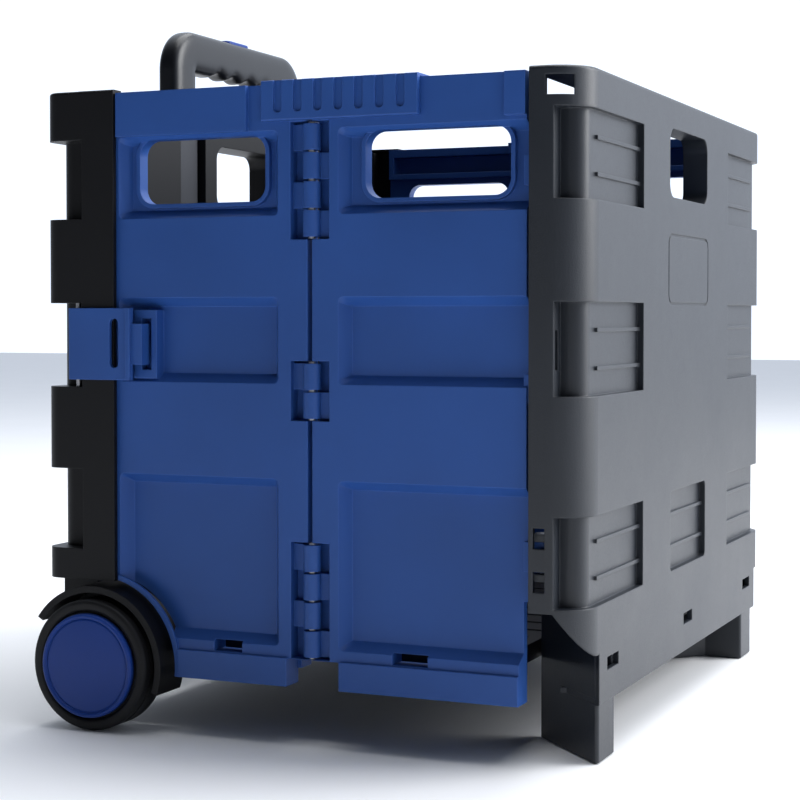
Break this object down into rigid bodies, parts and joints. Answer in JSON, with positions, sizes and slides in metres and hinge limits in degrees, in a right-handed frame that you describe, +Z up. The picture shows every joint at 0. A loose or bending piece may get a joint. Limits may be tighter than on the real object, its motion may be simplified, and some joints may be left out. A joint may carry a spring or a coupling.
{
  "type": "folding crate cart",
  "caption": "Two-wheeled folding crate cart with hinged side walls, moulded end panels, a lift-up floor and a telescopic U-shaped handle.",
  "frame": {"origin": "on the ground, under the middle of the cart", "axes": "+X towards the front panel, away from the handle; +Y to the left side; +Z up"},
  "size_m": [0.335, 0.449, 0.4285],
  "materials": {
    "blue_plastic": "moulded blue plastic, fine satin",
    "blue_gloss": "smooth dark blue plastic",
    "grey_plastic": "fine leather-grained dark grey plastic",
    "black_plastic": "black moulded plastic, satin",
    "tyre_black": "black hard rubber",
    "grip_grey": "dark grey semi-gloss plastic",
    "tube_metal": "dark grey powder coat",
    "steel": "zinc-plated steel"
  },
  "bodies": {
    "crate": {"front_panel": "grey_plastic", "rear_panel": "black_plastic", "wall_rear_right": "blue_plastic", "wall_rear_left": "blue_plastic", "wall_front_right": "blue_plastic", "wall_front_left": "blue_plastic", "front_foot_right": "grey_plastic", "front_foot_left": "grey_plastic", "outer_tube_right": "tube_metal", "outer_tube_left": "tube_metal", "mudguard_right": "black_plastic", "mudguard_left": "black_plastic", "tube_straps": "black_plastic", "axle": "steel", "axle_washers": "steel", "axle_clips": "steel", "centre_hinge_pins": "steel", "corner_hinge_pins": "steel", "floor_hinge_pins": "steel", "latch_pins": "steel", "strap_screws": "steel"},
    "floor": {"floor_panel": "black_plastic"},
    "middle_tubes": {"middle_tube_right": "tube_metal", "middle_tube_left": "tube_metal", "tube_collar_right": "grip_grey", "tube_collar_left": "grip_grey"},
    "grip": {"handle_grip": "grip_grey", "inner_tube_right": "tube_metal", "inner_tube_left": "tube_metal", "tube_plungers": "steel", "button_spring": "steel"},
    "button": {"handle_button": "blue_gloss"},
    "beam_lock_right": {"beam_lock_right": "blue_plastic"},
    "fold_latch_right": {"fold_latch_right": "blue_plastic"},
    "wheel_right": {"wheel_tyre_right": "tyre_black", "wheel_hub_right": "black_plastic", "wheel_cap_right": "blue_gloss"},
    "beam_lock_left": {"beam_lock_left": "blue_plastic"},
    "fold_latch_left": {"fold_latch_left": "blue_plastic"},
    "wheel_left": {"wheel_tyre_left": "tyre_black", "wheel_hub_left": "black_plastic", "wheel_cap_left": "blue_gloss"}
  },
  "joints": [
    {"name": "handle_lower_stage", "type": "slide", "parent": "crate", "child": "middle_tubes", "axis": [0, 0, 1], "range_m": [0, 0.275]},
    {"name": "handle_upper_stage", "type": "slide", "parent": "middle_tubes", "child": "grip", "axis": [0, 0, 1], "range_m": [0, 0.275]},
    {"name": "grip_button_press", "type": "slide", "parent": "grip", "child": "button", "axis": [0, 0, -1], "range_m": [0, 0.003], "stiffness_N_per_m": 400, "springref_m": -0.002, "deforming": ["button_spring"]},
    {"name": "floor_lift", "type": "hinge", "parent": "crate", "child": "floor", "pos_m": [-0.134, 0, 0.054], "axis": [0, -1, 0], "range_deg": [0, 88]},
    {"name": "beam_lock_slide_right", "type": "slide", "parent": "crate", "child": "beam_lock_right", "axis": [1, 0, 0], "range_m": [0, 0.048]},
    {"name": "fold_latch_swing_right", "type": "hinge", "parent": "crate", "child": "fold_latch_right", "pos_m": [-0.1445, -0.206, 0.224], "axis": [0, 0, -1], "range_deg": [0, 100]},
    {"name": "wheel_spin_right", "type": "hinge", "parent": "crate", "child": "wheel_right", "pos_m": [-0.129, -0.2095, 0.038], "axis": [0, 1, 0], "continuous": true},
    {"name": "beam_lock_slide_left", "type": "slide", "parent": "crate", "child": "beam_lock_left", "axis": [1, 0, 0], "range_m": [0, 0.048]},
    {"name": "fold_latch_swing_left", "type": "hinge", "parent": "crate", "child": "fold_latch_left", "pos_m": [-0.1445, 0.206, 0.224], "axis": [0, 0, 1], "range_deg": [0, 100]},
    {"name": "wheel_spin_left", "type": "hinge", "parent": "crate", "child": "wheel_left", "pos_m": [-0.129, 0.2095, 0.038], "axis": [0, 1, 0], "continuous": true}
  ]
}
